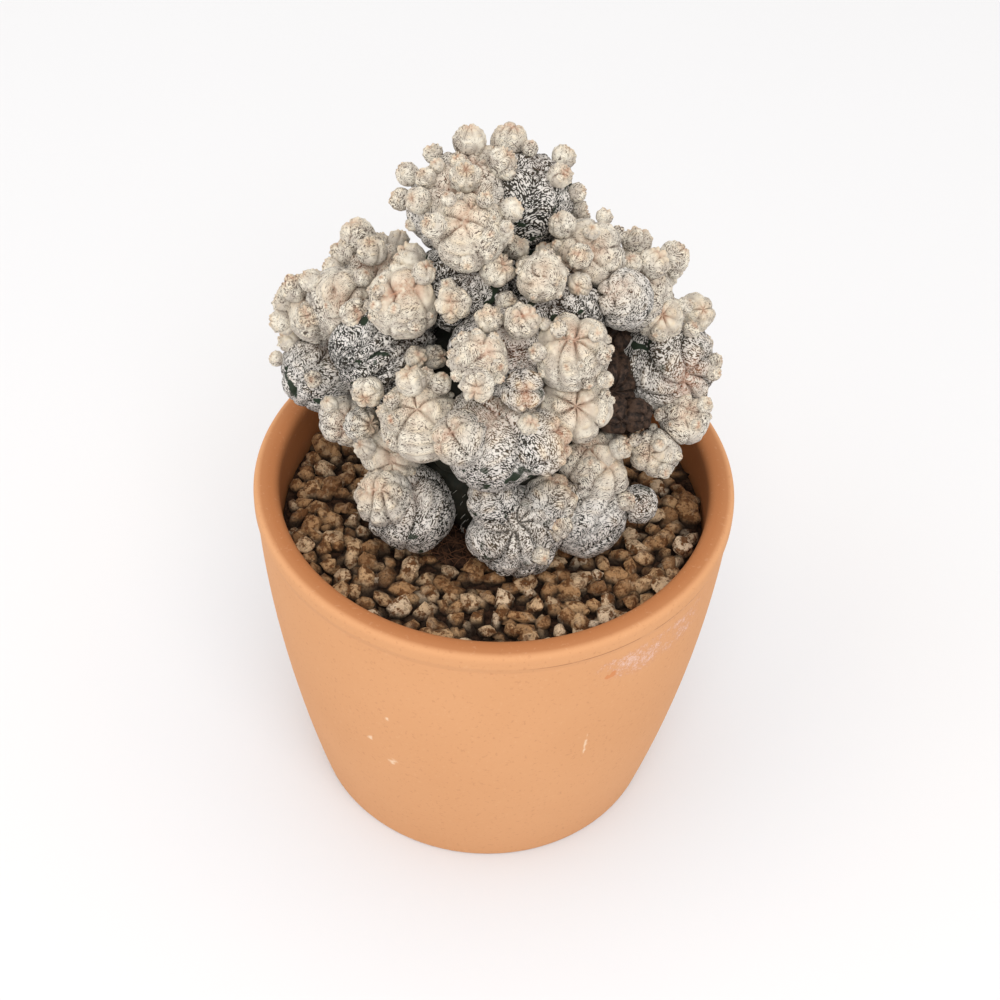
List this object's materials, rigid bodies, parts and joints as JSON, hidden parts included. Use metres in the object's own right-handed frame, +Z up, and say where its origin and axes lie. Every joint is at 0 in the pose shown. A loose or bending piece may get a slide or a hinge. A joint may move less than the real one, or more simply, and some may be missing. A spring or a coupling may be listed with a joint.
{
  "type": "potted round cactus",
  "caption": "Clump of round, ribbed, white-flecked cactus heads growing in a terracotta pot of soil topped with gravel.",
  "frame": {"origin": "on the ground under the middle of the pot", "axes": "+Z up through the pot's middle, front of the plant towards -Y"},
  "size_m": [0.14, 0.14, 0.212],
  "materials": {
    "terracotta": "matte",
    "potting_mix": "matte, fibrous",
    "gravel": "matte",
    "old_stem": "matte",
    "flecked_skin_old": "matte, chalky flecks",
    "flecked_skin": "matte, chalky flecks",
    "flecked_skin_young": "matte, chalky flecks"
  },
  "bodies": {
    "root": {"pot": "terracotta", "potting_mix": "potting_mix", "gravel_bed": "gravel", "left_stone": "gravel", "grey_stone": "gravel", "front_stone": "gravel", "square_stone": "gravel", "pale_stone": "gravel", "root_crown": "old_stem", "parent_body": "flecked_skin_old", "left_body": "flecked_skin_old", "right_body": "flecked_skin_old", "upper_body": "flecked_skin_old", "front_body": "flecked_skin_old", "belly_head": "flecked_skin", "low_left_head": "flecked_skin", "low_front_head": "flecked_skin_old", "low_right_head": "flecked_skin", "low_right_dark_head": "flecked_skin_old", "low_left_upper_head": "flecked_skin_young", "low_right_upper_head": "flecked_skin_young", "left_ribbed_head": "flecked_skin_old", "left_low_head": "flecked_skin_old", "left_gravel_head": "flecked_skin", "left_hind_head": "flecked_skin", "left_outer_head": "flecked_skin_young", "left_folded_head": "flecked_skin", "dark_upper_head": "flecked_skin_old", "left_cream_head": "flecked_skin_young", "dark_right_head": "flecked_skin_old", "middle_star_head": "flecked_skin_young", "middle_folded_head": "flecked_skin_young", "top_head": "flecked_skin", "top_right_head": "flecked_skin_old", "top_cream_head": "flecked_skin_young", "right_back_head": "flecked_skin", "right_hind_head": "flecked_skin", "right_big_head": "flecked_skin_old", "right_small_head": "flecked_skin", "right_middle_head": "flecked_skin_young", "right_pink_head": "flecked_skin_young", "right_outer_head": "flecked_skin_young", "right_lower_head": "flecked_skin", "right_spiky_head": "flecked_skin_young", "star_left_head": "flecked_skin_young", "star_right_head": "flecked_skin_young", "hind_low_left_head": "flecked_skin_old", "hind_low_right_head": "flecked_skin", "hind_middle_head": "flecked_skin", "hind_left_head": "flecked_skin", "hind_right_head": "flecked_skin_old", "hind_outer_left_head": "flecked_skin_young", "hind_outer_right_head": "flecked_skin_young", "hind_top_head": "flecked_skin_young", "hind_top_right_head": "flecked_skin", "top_bud_left": "flecked_skin_young", "top_bud_right": "flecked_skin_young", "left_bud": "flecked_skin_young", "right_bud": "flecked_skin_young"}
  },
  "joints": []
}
